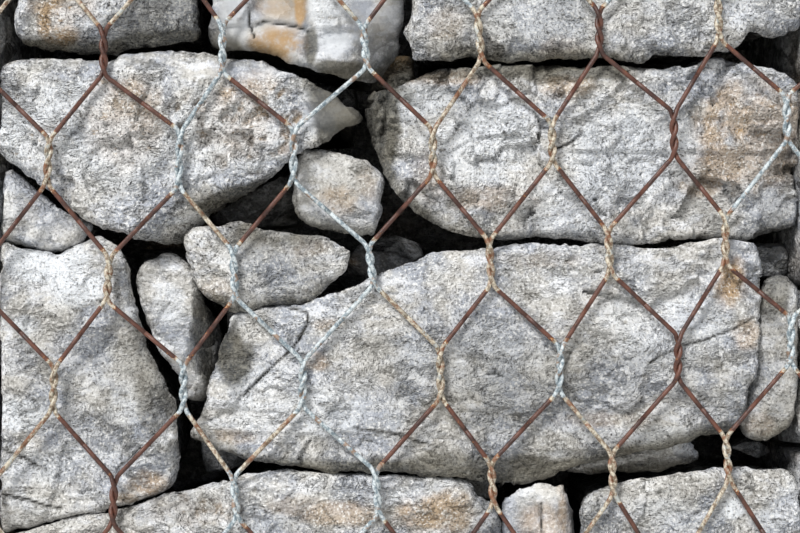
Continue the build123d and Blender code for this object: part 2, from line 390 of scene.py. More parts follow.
def face_stone(seed, outline, back=0.0, lean=(0.0, 0.0), facets=(), steps=(), cracks=(), ochre=(), pale=(),
               shade=(), pits=(), smooth=(), rough=1.0, ledges=1.0, layers=1.0, edge=6.0, side_rings=9,
               spread=2.2):
    """One stone of the front face as a closed skin. Its face is a leaning plane cut by facets, then chipped,
    stepped, roughened, pitted, rolled over at the edge and cracked. Back sets it deeper in the wall. Shade
    spots darken it: painted shade along lower edges, on facets turned from the light and on stones set
    back, a darker colour elsewhere."""
    rng = np.random.default_rng(seed)
    flat, inside, inward, quads, edges, centre = face_grid(rounded(on_face(outline)), seed)
    rim = np.unique(edges)
    x, z = flat.T
    place = in_noise(flat, seed)
    wander_x, wander_z = waves(place, RIDGE_WAVES, seed + 2), waves(place, RIDGE_WAVES, seed + 4)
    depth = lean[0] * (x - centre[0]) + lean[1] * (z - centre[1])
    depth, tone = cut_facets(x + wander_x, z + wander_z, depth, facets, rng)
    depth = chip_edge(x, z, depth, rim, inward, edge, rng)
    depth = cut_steps(x, z, wander_x, wander_z, depth, steps)

    calm = spots(smooth, x, z, 0.3 * lumps(place, 14, seed + 11))
    relief = broken(place, 100 + 7 * seed, rough, ledges, layers) * (1 - 0.75 * calm)
    pitted = spots(pits, x, z, 0.4 * lumps(place, 16, seed + 6))
    holes = rise(fractal(place, 7.5, 3, seed + 7, 0.6), 0.05, 0.75)
    relief = relief + pitted * (PIT_DEPTH * holes - PIT_RIM)
    roll = edge * (1 + 0.45 * lumps(place, 30, seed + 8))
    short = np.clip(1 - inside / roll, 0, 1)
    depth = depth + roll * (1 - np.sqrt(np.maximum(1 - short**2, 0))) * 0.85

    # Cracks, each (width, depth, line), and how close each point is to one.
    crack = np.zeros(len(x))
    for wide, deep, line in cracks:
        near = to_line(line, x + 0.35 * wander_x, z + 0.35 * wander_z)
        crack = np.maximum(crack, 1 - rise(near, 0.2 * wide, wide))
        depth = depth + deep * (1 - rise(near, 0.1 * wide, wide))

    depth = np.maximum(depth + relief, 0)
    depth = depth - min(0.0, np.quantile(depth, 0.02)) + back

    # The looks: hollows, cracks and places deep in the face are painted dark, which is painted shade with
    #     some dirt in the pits, and the undersides are painted darker, which is painted shade.
    under = np.maximum(inward[:, 1], 0) * (1 - rise(inside, 1, 11))
    soft = waves(place, SPOT_WAVES, seed + 9)
    hollow = rise(depth - back, 7, 24) * 0.8 + rise(relief, 1.0, 4.0) * 0.2 + 0.3 * pitted * holes
    looks = {
        "ochre": np.maximum(spots(ochre, x, z, soft), 0.8 * pitted * holes),
        "pale": np.maximum(spots(pale, x, z, soft), 0.6 * pitted * (1 - holes)),
        "coarse": min(rough, 1.0) * (1 - 0.8 * calm),
        # Darker undersides and facets marked dark are painted shade, as are many shade spots; the rest
        # varies by chance.
        "tone": np.clip(tone - 1.2 * spots(shade, x, z, soft) - 0.9 * under, -1.8, 1),
        "grime_and_painted_shade": np.maximum(crack * 1.25, np.clip(hollow, 0, 1)),
    }
    return add_sides(flat, depth, inward, quads, edges, looks, back, ledges, side_rings, spread, seed, rng)


def add_node(tree, kind, links=None, **settings):
    """A node with its settings. Each input, by name or number, takes a value or a link from an output."""
    node = tree.nodes.new(kind)
    for key, value in settings.items():
        setattr(node, key, value)
    for key, value in (links or {}).items():
        if isinstance(value, bpy.types.NodeSocket):
            tree.links.new(value, node.inputs[key])
        else:
            node.inputs[key].default_value = value
    return node


def paint(code):
    """Linear colour from an sRGB hex code."""
    rgb = np.array([int(code[i:i + 2], 16) for i in (1, 3, 5)]) / 255
    return (*np.where(rgb <= 0.04045, rgb / 12.92, ((rgb + 0.055) / 1.055) ** 2.4), 1.0)


# Limestone, broken and weathered: fine dark specks and white ones, which are painted glints of crystals,
# cool and warm greys in patches, a chalky bloom, ochre iron stain, and dark colour in the hollows, cracks
# and joints and deep in the wall, which is painted shade with some dirt in the pits. Matt all over.
limestone = bpy.data.materials.new("broken limestone")
limestone.use_nodes = True
tree = limestone.node_tree
surface = tree.nodes["Principled BSDF"]
here = add_node(tree, "ShaderNodeTexCoord").outputs["Object"]
bedding = (0.7, 1, 1.25)
bedded = add_node(tree, "ShaderNodeVectorMath", {0: here, 1: bedding}, operation="MULTIPLY").outputs[0]


def noise_lumps(size, detail, rough=0.6, place=here):
    """Settings of a noise with lumps of a size in millimetres."""
    return {"Vector": place, "Scale": 1 / (size * MM), "Detail": detail, "Roughness": rough}


patches = add_node(tree, "ShaderNodeTexNoise", noise_lumps(48, 6, 0.6)).outputs["Fac"]
blots = add_node(tree, "ShaderNodeTexNoise", noise_lumps(15, 5, 0.62, bedded)).outputs["Fac"]
mottle = add_node(tree, "ShaderNodeTexNoise", noise_lumps(5.5, 4, 0.66, bedded)).outputs["Fac"]
grain = add_node(tree, "ShaderNodeTexNoise", noise_lumps(1.8, 2, 0.6)).outputs["Fac"]
looks = {name: add_node(tree, "ShaderNodeAttribute", attribute_name=name).outputs["Fac"]
         for name in ("ochre", "pale", "tone", "grime_and_painted_shade", "coarse")}


def tinted(under, value, start, end, most, over, times=None, blend="MIX"):
    """A colour laid over another as a value goes smoothly from start to end, up to a share, times another
    value. Both colours are hex codes, or are made already in the same material."""
    steps = {"Value": value, "From Min": start, "From Max": end, "To Min": 0.0, "To Max": most}
    share = add_node(tree, "ShaderNodeMapRange", steps, interpolation_type="SMOOTHSTEP").outputs[0]
    if times is not None:
        share = add_node(tree, "ShaderNodeMath", {0: share, 1: times}, operation="MULTIPLY").outputs[0]
    under, over = (paint(colour) if isinstance(colour, str) else colour for colour in (under, over))
    return add_node(tree, "ShaderNodeMix", {0: share, 6: under, 7: over}, data_type="RGBA",
                    blend_type=blend).outputs[2]


# Chips: small flats between scattered points, each with a tilt and a shade of its own.
shift = add_node(tree, "ShaderNodeTexNoise", noise_lumps(9, 3, 0.6)).outputs["Color"]
centring = (-0.5, -0.5, -0.5)
shift = add_node(tree, "ShaderNodeVectorMath", {0: shift, 1: centring}, operation="ADD").outputs[0]
shift = add_node(tree, "ShaderNodeVectorMath", {0: shift, "Scale": 10 * MM}, operation="SCALE").outputs[0]
moved = add_node(tree, "ShaderNodeVectorMath", {0: bedded, 1: shift}, operation="ADD").outputs[0]
cell = add_node(tree, "ShaderNodeTexVoronoi", {"Vector": moved, "Scale": 1 / (12 * MM)})
away = add_node(tree, "ShaderNodeVectorMath", {0: moved, 1: cell.outputs["Position"]}, operation="SUBTRACT")
tilt = add_node(tree, "ShaderNodeVectorMath", {0: cell.outputs["Color"], 1: centring}, operation="ADD")
chips = add_node(tree, "ShaderNodeVectorMath", {0: away.outputs[0], 1: tilt.outputs[0]},
                 operation="DOT_PRODUCT")
chip_shade = add_node(tree, "ShaderNodeSeparateColor", {0: cell.outputs["Color"]}).outputs[1]

colour = tinted("#a4a9b3", patches, 0.42, 0.58, 1.0, "#c3c1bd")
colour = tinted(colour, blots, 0.46, 0.36, 0.5, "#85847f")
colour = tinted(colour, blots, 0.52, 0.62, 0.7, "#dcdfe5")
colour = tinted(colour, chip_shade, 0.55, 0.95, 0.3, "#f0f0ee")
colour = tinted(colour, chip_shade, 0.4, 0.05, 0.22, "#716f69")
colour = tinted(colour, mottle, 0.45, 0.33, 0.5, "#716d65", looks["coarse"])
colour = tinted(colour, mottle, 0.54, 0.66, 0.6, "#e9eaec", looks["coarse"])

iron = add_node(tree, "ShaderNodeTexNoise", noise_lumps(17, 5, 0.62)).outputs["Fac"]
iron_tint = add_node(tree, "ShaderNodeMix", {0: iron, 6: paint("#94714c"), 7: paint("#cbb18c")},
                     data_type="RGBA").outputs[2]
colour = tinted(colour, iron, 0.26, 0.52, 1.0, iron_tint, looks["ochre"])

colour = tinted(colour, mottle, 0.3, 0.44, 1.0, "#dde1e6", looks["pale"])
# Fine specks: dark grains, and white ones that are painted glints of crystals.
colour = tinted(colour, grain, 0.44, 0.31, 0.8, "#4b4843", looks["coarse"])
colour = tinted(colour, grain, 0.54, 0.66, 0.75, "#f7f7f5", looks["coarse"])
# Painted shade: undersides, facets marked dark, shade spots and the hearting are made darker by multiplying,
# along with darkness by chance.
colour = tinted(colour, looks["tone"], -0.12, -1.5, 1.0, "#908d84", None, "MULTIPLY")
# Painted shade in hollows, cracks and deep in the wall, with some dirt in the pits.
colour = tinted(colour, mottle, 0.2, 0.6, 0.85, "#2b2923", looks["grime_and_painted_shade"])

normal = {}
for height, distance in ((chips.outputs["Value"], 1.6), (mottle, 2.6 * MM), (grain, 1.0 * MM)):
    heights = {"Height": height, "Distance": distance, "Strength": looks["coarse"], **normal}
    normal = {"Normal": add_node(tree, "ShaderNodeBump", heights).outputs[0]}
tree.links.new(colour, surface.inputs["Base Color"])
tree.links.new(normal["Normal"], surface.inputs["Normal"])
surface.inputs["Roughness"].default_value = 0.92
surface.inputs["Specular IOR Level"].default_value = 0.25


def add_piece(name, skins, material, nodes):
    """One mesh object of closed skins. A skin is its points, its quads, its triangles, and a number for
    each point for each look that the material reads."""
    offsets = np.cumsum([0] + [len(skin[0]) for skin in skins[:-1]])
    points = np.concatenate([skin[0] for skin in skins])
    quads = np.concatenate([skin[1] + offset for skin, offset in zip(skins, offsets)])
    fans = np.concatenate([skin[2] + offset for skin, offset in zip(skins, offsets)])
    mesh = bpy.data.meshes.new(name)
    mesh.vertices.add(len(points))
    mesh.vertices.foreach_set("co", (points * MM).astype(np.float32).ravel())
    mesh.loops.add(quads.size + fans.size)
    mesh.loops.foreach_set("vertex_index", np.concatenate([quads.ravel(), fans.ravel()]).astype(np.int32))
    mesh.polygons.add(len(quads) + len(fans))
    starts = np.concatenate([np.arange(len(quads)) * 4, quads.size + np.arange(len(fans)) * 3])
    mesh.polygons.foreach_set("loop_start", starts.astype(np.int32))
    mesh.update(calc_edges=True)
    mesh.shade_smooth()
    for look in skins[0][3]:
        values = np.concatenate([skin[3][look] for skin in skins])
        mesh.attributes.new(look, "FLOAT", "POINT").data.foreach_set("value", values.astype(np.float32))
    mesh.materials.append(material)
    piece = bpy.data.objects.new(name, mesh)
    bpy.context.scene.collection.objects.link(piece)
    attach(piece, "root")
    if nodes:
        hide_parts(*nodes)


# The sides of the top course show through the lid, so they have more rings, which spread more evenly.
LID_SIDES = {"side_rings": 30, "spread": 1.25}

# Shade spots and facets marked dark are partly painted shade: along lower edges, on facets turned from the
# light and on stones set back.
face_courses = {
    "front_course_4": [
        dict(seed=1, **LID_SIDES, edge=4, lean=(0.02, 0.0), layers=1.6, ledges=0.8, outline=[
            (-5, -110), (100, -112), (199, -110), (200, -60), (191, 0), (193, 10), (196, 27), (190, 36),
            (155, 39), (134, 41), (117, 46), (100, 48), (57, 46), (35, 42), (13, 37), (7, 22), (8, 8),
            (14, -4), (2, -40), (-5, -70)],
             facets=[(-215, 152, -95, 1.1), (-165, 172, -60, 0.3), (-238, 190, 200, 0.3)],
             steps=[("below", [(-190, 152), (-160, 153), (-132, 156)], 3.0, 20)],
             ochre=[(-222, 160, 15, 17, 0.9), (-212, 172, 16, 14, 0.8), (-232, 175, 12, 14, 0.5)],
             shade=[(-155, 162, 44, 26, 0.4), (-215, 144, 50, 7, 1.0), (-160, 146, 40, 6, 0.9)],
             pale=[(-205, 165, 18, 12, 0.6), (-180, 200, 50, 30, 0.4)]),
        dict(seed=2, **LID_SIDES, edge=2, rough=0.45, ledges=0.4, outline=[
            (204, -108), (300, -111), (400, -108), (403, -50), (402, 0), (400, 22), (397, 40), (393, 53),
            (381, 69), (374, 76), (352, 75), (335, 72), (316, 69), (307, 64), (290, 60), (276, 52),
            (254, 46), (237, 46), (214, 43), (207, 38), (203, 26), (209, 14), (212, 0), (203, -50)],
             facets=[(-60, 175, 5, 0.16), (-31, 156, -25, 0.9), (-99, 170, 185, 0.18),
                     (-82, 146, -105, 0.2),
                     (-40, 133, -80, 1.3), (-10, 170, 10, 0.5), (-112, 160, 215, 0.9)],
             steps=[("below", [(-93, 158), (-88, 160), (-75, 159), (-60, 155)], 2.4, 26),
                    ("right", [(-62, 130), (-63, 145), (-62, 156)], 1.4, 12)],
             cracks=[(1.2, 2.5, [(-98, 185), (-98, 166), (-97, 158), (-94, 150)]),
                     (1.0, 1.2, [(-93, 158), (-88, 160), (-75, 159), (-60, 155)])],
             smooth=[(-78, 158, 22, 36, 1.0), (-108, 160, 12, 26, 0.9), (-42, 146, 14, 14, 0.9),
                     (-14, 155, 22, 30, 0.8)],
             ochre=[(-80, 145, 20, 16, 1.0), (-80, 172, 18, 14, 0.55), (-65, 172, 5, 18, 1.3)],
             pale=[(-48, 170, 14, 18, 0.8), (-42, 147, 14, 10, 0.7), (-108, 165, 12, 24, 0.6)],
             shade=[(-58, 145, 5, 15, 0.9), (-80, 145, 24, 16, 0.3), (-80, 172, 24, 14, 0.3),
                    (-34, 129, 26, 8, 1.4), (-14, 140, 18, 18, 0.8)]),
        dict(seed=3, **LID_SIDES, edge=3, rough=1.0, ledges=0.8, outline=[
            (408, -106), (520, -111), (700, -111), (804, -108), (806, -30), (806, 25), (800, 26), (785, 32),
            (766, 31), (754, 27), (747, 33), (745, 43), (737, 46), (719, 48), (712, 52), (699, 54),
            (681, 52), (655, 50), (654, 55), (647, 60), (633, 58), (623, 55), (598, 55), (585, 55),
            (570, 53), (557, 55), (539, 58), (522, 57), (505, 58), (488, 57), (470, 52), (460, 53),
            (446, 58), (427, 56), (415, 55), (412, 41), (406, 31), (408, 19), (414, 7), (410, -40)],
             facets=[(100, 150, -95, 0.12), (22, 160, 200, 0.35), (210, 160, -60, 0.25),
                     (120, 175, 80, 0.1)],
             steps=[("below", [(100, 143), (125, 150), (150, 143)], 2.0, 14)],
             shade=[(60, 160, 70, 30, 0.15), (80, 160, 70, 36, 0.25)],
             ochre=[(32, 158, 14, 12, 0.25), (104, 143, 16, 9, 0.3)],
             pale=[(90, 165, 60, 22, 0.4), (190, 165, 50, 20, 0.3)]),
    ],
    "front_course_3": [
        dict(seed=4, edge=3, rough=1.15, ledges=0.7, outline=[
            (-5, 66), (3, 58), (21, 57), (60, 58), (100, 60), (112, 58), (120, 53), (138, 50), (164, 48),
            (183, 48), (203, 51), (224, 57), (240, 58), (263, 62), (276, 69), (290, 72), (307, 80),
            (328, 88), (335, 96), (345, 104), (357, 108), (362, 113), (359, 119), (345, 124), (328, 136),
            (318, 143), (300, 150), (292, 156), (262, 180), (224, 200), (202, 214), (190, 232), (180, 238),
            (165, 243), (146, 240), (126, 234), (103, 227), (83, 220), (58, 202), (41, 186), (17, 169),
            (0, 156), (-5, 150)],
             facets=[(-97, 58, -64, 1.3), (-215, 50, -125, 0.7), (-248, 110, 180, 0.35),
                     (-160, 131, 92, 0.5),
                     (-62, 109, 28, 0.42, -1.3), (-175, 90, 160, 0.06, 0.1)],
             smooth=[(-44, 102, 22, 20, 1.0), (-105, 128, 46, 7, 0.7), (-180, 136, 60, 7, 0.6)],
             steps=[("right", [(-53, 82), (-54, 95), (-60, 103), (-68, 114), (-70, 125)], 3.0, 60),
                    ("below", [(-262, 128), (-215, 126), (-190, 127), (-165, 132), (-130, 129)], -1.6, 24)],
             pits=[(-108, 96, 44, 25, 1.0), (-187, 90, 26, 22, 0.6), (-100, 78, 30, 18, 0.7)],
             ochre=[(-108, 96, 32, 32, 0.75), (-182, 92, 28, 30, 0.65), (-235, 80, 16, 20, 0.45)],
             pale=[(-190, 75, 40, 30, 0.6), (-120, 85, 40, 30, 0.4), (-215, 110, 30, 14, 0.7),
                   (-235, 88, 34, 34, 0.8)],
             shade=[(-100, 45, 60, 12, 0.8)]),
        dict(seed=5, edge=4, rough=0.9, ledges=1.3, outline=[
            (364, 100), (371, 87), (395, 84), (412, 77), (427, 71), (440, 65), (477, 66), (496, 64),
            (531, 62), (557, 60), (580, 66), (591, 64), (620, 64), (640, 64), (661, 67), (676, 66),
            (702, 64), (712, 55), (725, 54), (745, 58), (771, 65), (788, 71), (799, 76), (806, 84),
            (806, 222), (800, 225), (780, 229), (771, 232), (762, 238), (737, 239), (723, 238), (702, 237),
            (685, 238), (673, 235), (669, 241), (654, 241), (637, 243), (620, 242), (602, 242), (588, 239),
            (560, 236), (540, 235), (520, 238), (501, 238), (470, 236), (440, 226), (410, 205), (395, 190),
            (385, 172), (378, 150), (368, 125)],
             facets=[(0, 80, 170, 0.95, -1.1), (100, 121, 92, 0.6, -0.5), (60, 104, 60, 0.09),
                     (30, 60, 230, 0.16),
                     (112, 60, -35, 0.12), (120, 36, -92, 0.3), (200, 80, -5, 0.12, 0.0),
                     (85, 90, -60, 0.1, 0.1),
                     (150, 100, 110, 0.14, 0.1)],
             steps=[("below", [(25, 72), (45, 84), (75, 88), (95, 76)], 2.6, 30),
                    ("below", [(120, 96), (150, 88), (175, 98)], 2.0, 26),
                    ("right", [(85, 45), (92, 62), (88, 84)], 1.8, 24)],
             cracks=[(1.6, 2.0, [(100, 76), (110, 80), (118, 87)])],
             ochre=[(212, 84, 20, 42, 0.9), (238, 84, 28, 40, 0.65), (200, 60, 22, 18, 0.5),
                    (30, 124, 40, 7, 0.5),
                    (112, 118, 20, 8, 0.5), (60, 45, 30, 10, 0.4),
                    (20, 60, 12, 20, 0.25)],
             pale=[(55, 82, 40, 34, 0.7), (16, 108, 24, 16, 0.9), (150, 74, 50, 34, 0.6),
                   (110, 45, 50, 20, 0.4),
                   (225, 84, 34, 44, 0.25)],
             shade=[(-12, 90, 12, 36, 1.2), (70, 128, 110, 9, 1.1), (-4, 114, 20, 9, 0.9),
                    (40, 70, 16, 8, 0.4)]),
        dict(seed=6, edge=4, back=6, rough=0.7, ledges=0.5, lean=(0.03, 0.08), outline=[
            (299, 152), (307, 149), (335, 151), (345, 156), (366, 160), (369, 165), (382, 172), (382, 181),
            (380, 206), (378, 226), (372, 233), (356, 235), (330, 230), (305, 222), (293, 212), (292, 190),
            (295, 170)],
             facets=[(-64, 50, 178, 1.0), (-42, 68, 80, 0.5)],
             ochre=[(-40, 44, 16, 12, 0.45), (-22, 55, 10, 12, 0.3)],
             shade=[(-42, 48, 60, 50, 0.5)],
             pale=[(-50, 35, 16, 10, 0.3)]),
    ],
    "front_course_2": [
        dict(seed=7, edge=8, back=9, rough=0.7, ledges=0.5, lean=(0.12, 0.0), outline=[
            (-5, 163), (0, 167), (10, 174), (22, 186), (41, 203), (58, 212), (72, 217), (83, 224),
            (81, 232), (69, 244), (55, 253), (40, 251), (22, 246), (0, 242), (-5, 241)],
             facets=[(-218, 28, 0, 0.6), (-240, 45, 60, 0.5)]),
        dict(seed=8, edge=5, rough=0.85, ledges=0.4, outline=[
            (-5, 246), (0, 245), (26, 251), (52, 255), (65, 249), (81, 240), (91, 235), (100, 238),
            (114, 250), (120, 262), (124, 273), (126, 289), (129, 306), (136, 323), (138, 337), (141, 351),
            (151, 366), (160, 382), (165, 396), (170, 404), (169, 415), (172, 428), (173, 447), (174, 470),
            (169, 485), (158, 494), (146, 500), (131, 506), (107, 511), (96, 514), (69, 516), (48, 523),
            (22, 531), (0, 535), (-5, 536)],
             facets=[(-215, -6, 80, 0.22), (-186, -50, 15, 0.3), (-163, -100, 5, 0.6),
                     (-215, -150, -95, 0.3)],
             steps=[("below", [(-262, -135), (-235, -142), (-212, -150)], 1.8, 16)],
             cracks=[(1.5, 1.6, [(-262, -120), (-246, -126), (-232, -134)]),
                     (1.5, 1.8, [(-262, -150), (-242, -154), (-222, -160)]),
                     (1.2, 1.0, [(-186, -132), (-176, -124), (-170, -118)])],
             ochre=[(-164, -142, 16, 11, 0.7), (-178, -152, 12, 5, 0.5)],
             shade=[(-205, -70, 60, 60, 0.4), (-160, -60, 20, 60, 0.6)],
             pale=[(-232, 2, 30, 16, 1.3), (-208, -14, 18, 12, 1.2), (-250, -98, 20, 11, 1.2),
                   (-180, -90, 12, 20, 0.4), (-235, -130, 22, 12, 0.4), (-246, -38, 12, 8, 0.9)]),
        dict(seed=9, edge=4, back=10, rough=0.7, ledges=0.5, lean=(-0.05, 0.02), outline=[
            (131, 273), (136, 264), (142, 261), (160, 255), (169, 257), (181, 263), (186, 269), (191, 289),
            (196, 300), (203, 318), (211, 331), (212, 349), (207, 383), (199, 402), (189, 405), (182, 401),
            (179, 382), (164, 366), (151, 346), (146, 328), (138, 308), (133, 290)],
             facets=[(-136, -36, -8, 1.3), (-150, -4, 80, 0.6), (-150, -66, -60, 0.7)],
             shade=[(-130, -55, 8, 40, 0.7)],
             pale=[(-152, -25, 10, 16, 0.5)]),
        dict(seed=10, edge=3, back=1, rough=0.9, ledges=0.6, outline=[
            (182, 237), (190, 229), (214, 226), (232, 223), (245, 222), (254, 226), (263, 231), (287, 233),
            (311, 235), (331, 241), (348, 252), (345, 268), (330, 285), (312, 298), (300, 303), (283, 304),
            (269, 306), (246, 309), (231, 312), (222, 307), (206, 299), (195, 288), (188, 273), (184, 255)],
             facets=[(-90, 16, 88, 0.35), (-124, 0, 190, 0.4)],
             shade=[(-78, 2, 50, 35, 0.7), (-120, -24, 30, 8, 0.6)],
             ochre=[(-118, -15, 16, 10, 0.2), (-60, 12, 20, 7, 0.2)],
             pale=[(-105, 5, 22, 12, 0.3)]),
        dict(seed=11, edge=3, rough=0.85, ledges=0.7, layers=1.9, outline=[
            (232, 319), (238, 312), (262, 308), (284, 306), (300, 306), (315, 301), (330, 296), (360, 284),
            (400, 268), (440, 253), (470, 249), (500, 250), (522, 245), (551, 246), (564, 245), (588, 246),
            (609, 246), (640, 249), (661, 248), (685, 246), (705, 242), (737, 241), (760, 243), (763, 247),
            (765, 263), (765, 285), (764, 306), (765, 332), (761, 352), (759, 378), (752, 385), (750, 394),
            (750, 406), (745, 416), (743, 428), (737, 435), (723, 435), (702, 439), (685, 445), (668, 450),
            (644, 454), (626, 457), (602, 463), (580, 467), (565, 473), (553, 481), (539, 485), (522, 487),
            (498, 487), (470, 481), (457, 478), (425, 479), (407, 475), (375, 473), (326, 474), (300, 469),
            (273, 464), (252, 462), (232, 457), (214, 450), (190, 445), (185, 437), (191, 428), (199, 418),
            (206, 394), (214, 366), (223, 337)],
             facets=[(-94, -51, 198, 0.2, -0.2), (60, 2, 93, 0.5), (150, -106, -78, 0.45),
                     (-40, -120, -97, 0.3),
                     (215, -40, 5, 0.3, -0.1), (90, -60, -70, 0.04), (120, -40, 75, 0.06, 0.1)],
             steps=[("below", [(0, -108), (40, -112), (60, -118), (100, -119)], 1.8, 20),
                    ("below", [(130, -92), (165, -84), (200, -82)], 1.5, 18)],
             cracks=[(1.2, 1.2, [(162, -64), (185, -52), (215, -42), (231, -33)]),
                     (1.5, 3.0, [(-75, -26), (-60, -29), (-59, -35), (-65, -47), (-72, -55), (-100, -84)]),
                     (1.2, 1.2, [(-30, -104), (-5, -108), (25, -117)])],
             ochre=[(-53, -62, 9, 7, 0.5), (-48, -38, 12, 5, 0.4), (217, -14, 11, 18, 0.9),
                    (225, -45, 10, 12, 0.5),
                    (-110, -112, 20, 6, 0.35), (130, -100, 30, 8, 0.3), (90, 5, 30, 6, 0.2)],
             pale=[(-60, -95, 60, 18, 0.5), (-90, -80, 26, 16, 0.4), (40, -60, 50, 24, 0.3),
                   (172, -112, 24, 8, 0.6), (170, -40, 50, 26, 0.5)],
             shade=[(-109, -58, 15, 26, 1.0), (40, -132, 100, 12, 0.6), (60, -90, 60, 18, 0.3),
                    (60, -60, 110, 44, 0.3)]),
        dict(seed=12, edge=6, back=10, rough=0.8, ledges=0.4, outline=[
            (771, 284), (778, 277), (788, 276), (799, 280), (806, 288), (806, 418), (800, 425), (788, 437),
            (776, 444), (768, 444), (752, 437), (749, 427), (752, 411), (757, 394), (761, 373), (763, 349),
            (766, 323), (769, 297)],
             ochre=[(236, -104, 10, 8, 0.3)],
             shade=[(244, -60, 30, 60, 0.5), (244, -20, 24, 24, 0.9)]),
    ],
    "front_course_1": [
        dict(seed=13, edge=4, rough=0.9, ledges=0.9, layers=1.4, outline=[
            (-5, 541), (20, 538), (60, 524), (100, 518), (131, 510), (146, 504), (162, 498), (189, 493),
            (203, 489), (214, 487), (237, 482), (254, 477), (276, 474), (300, 475), (323, 476), (340, 479),
            (387, 478), (421, 481), (446, 482), (467, 485), (474, 492), (479, 500), (493, 509), (497, 518),
            (504, 534), (503, 580), (498, 640), (250, 643), (100, 643), (-5, 641)],
             facets=[(-80, -148, 92, 0.5), (0, -155, 85, 0.25), (-180, -175, 110, 0.3),
                     (30, -180, 10, 0.15)],
             ochre=[(-130, -160, 34, 9, 0.3), (-40, -162, 24, 9, 0.5), (-70, -156, 20, 8, 0.3),
                    (22, -160, 28, 14, 0.7), (-180, -185, 30, 12, 0.4)],
             pale=[(0, -150, 20, 6, 0.4), (-100, -170, 20, 8, 0.4)],
             shade=[(-60, -160, 110, 30, 0.35)],
             pits=[(-140, -158, 40, 10, 0.6)]),
        dict(seed=14, edge=3, back=3, rough=0.5, ledges=0.4, outline=[
            (504, 506), (514, 499), (522, 493), (539, 490), (551, 488), (557, 492), (565, 491), (570, 502),
            (575, 518), (577, 533), (582, 580), (580, 640), (545, 643), (510, 640), (507, 590), (506, 533)],
             facets=[(104, -170, -5, 0.8), (85, -150, 95, 0.6), (74, -165, 170, 0.6)],
             cracks=[(1.4, 1.8, [(93, -155), (93, -170), (95, -185)])],
             ochre=[(95, -170, 18, 20, 0.5), (106, -165, 5, 22, 0.6)]),
        dict(seed=15, edge=2, back=22, rough=0.8, ledges=0.8, layers=1.5, outline=[
            (570, 479), (578, 474), (600, 467), (626, 461), (650, 456), (668, 453), (699, 446), (704, 451),
            (714, 468), (706, 470), (690, 471), (676, 475), (659, 477), (626, 478), (600, 480)],
             facets=[(178, -124, 0, 0.6)],
             shade=[(160, -130, 60, 12, 0.6)]),
        dict(seed=16, edge=4, rough=0.95, ledges=0.7, outline=[
            (584, 514), (587, 504), (594, 495), (613, 490), (642, 483), (668, 481), (685, 477), (702, 473),
            (728, 473), (754, 471), (780, 472), (794, 476), (799, 483), (802, 504), (806, 540), (804, 600),
            (800, 642), (700, 643), (590, 641), (586, 590), (585, 533)],
             facets=[(190, -150, 90, 0.35), (128, -175, 175, 0.4)],
             shade=[(190, -165, 80, 30, 0.4)],
             pale=[(217, -157, 10, 7, 1.0), (170, -158, 20, 8, 0.5), (240, -165, 14, 8, 0.5)]),
    ],
}

for node, stones in face_courses.items():
    skins = [face_stone(**stone) for stone in stones]
    add_piece(node.replace("course", "stones"), skins, limestone, [node])


# The stones of the back and of the two ends. They are the same limestone in rougher courses, each stone as
# large as the room the others leave it, with its corners knocked off. The ends' stones run right through the
# wall, and those of the top course show through the lid.

RINGS = 66
KNOCKS = 6
BLEND_POWER = 44
JOINT = 3.6
TOUCHING = 0.2
ROUGH_APART = 53.0


def separate(node):
    """The vertices and triangles of each solid in a node, found by spreading the lowest vertex number."""
    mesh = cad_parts[node].data
    points = np.empty(len(mesh.vertices) * 3, np.float32)
    mesh.vertices.foreach_get("co", points)
    mesh.calc_loop_triangles()
    corners = np.empty(len(mesh.loop_triangles) * 3, np.int32)
    mesh.loop_triangles.foreach_get("vertices", corners)
    points = np.round(points.reshape(-1, 3).astype(float) / MM, 3)
    points, merged = np.unique(points, axis=0, return_inverse=True)
    triangles = merged.ravel()[corners].reshape(-1, 3)
    label = np.arange(len(points))
    while True:
        lowest = label[triangles].min(axis=1)
        spread = label.copy()
        for corner in range(3):
            np.minimum.at(spread, triangles[:, corner], lowest)
        if (spread == label).all():
            break
        label = spread
    return [(points, triangles[label[triangles[:, 0]] == part]) for part in np.unique(label)]


def planes_of(points, triangles):
    """The middle of a solid, its corners, and its faces as planes: direction out and distance from there."""
    a, b, c = (points[triangles[:, corner]] for corner in range(3))
    normals = np.cross(b - a, c - a)
    big = np.linalg.norm(normals, axis=1) > 1e-3
    normals = normals[big] / np.linalg.norm(normals[big], axis=1, keepdims=True)
    corners = points[np.unique(triangles)]
    centre = (corners.min(axis=0) + corners.max(axis=0)) / 2
    planes = np.column_stack([normals, ((a[big] - centre) * normals).sum(axis=1)])
    return centre, corners, np.unique(np.round(planes, 2), axis=0)


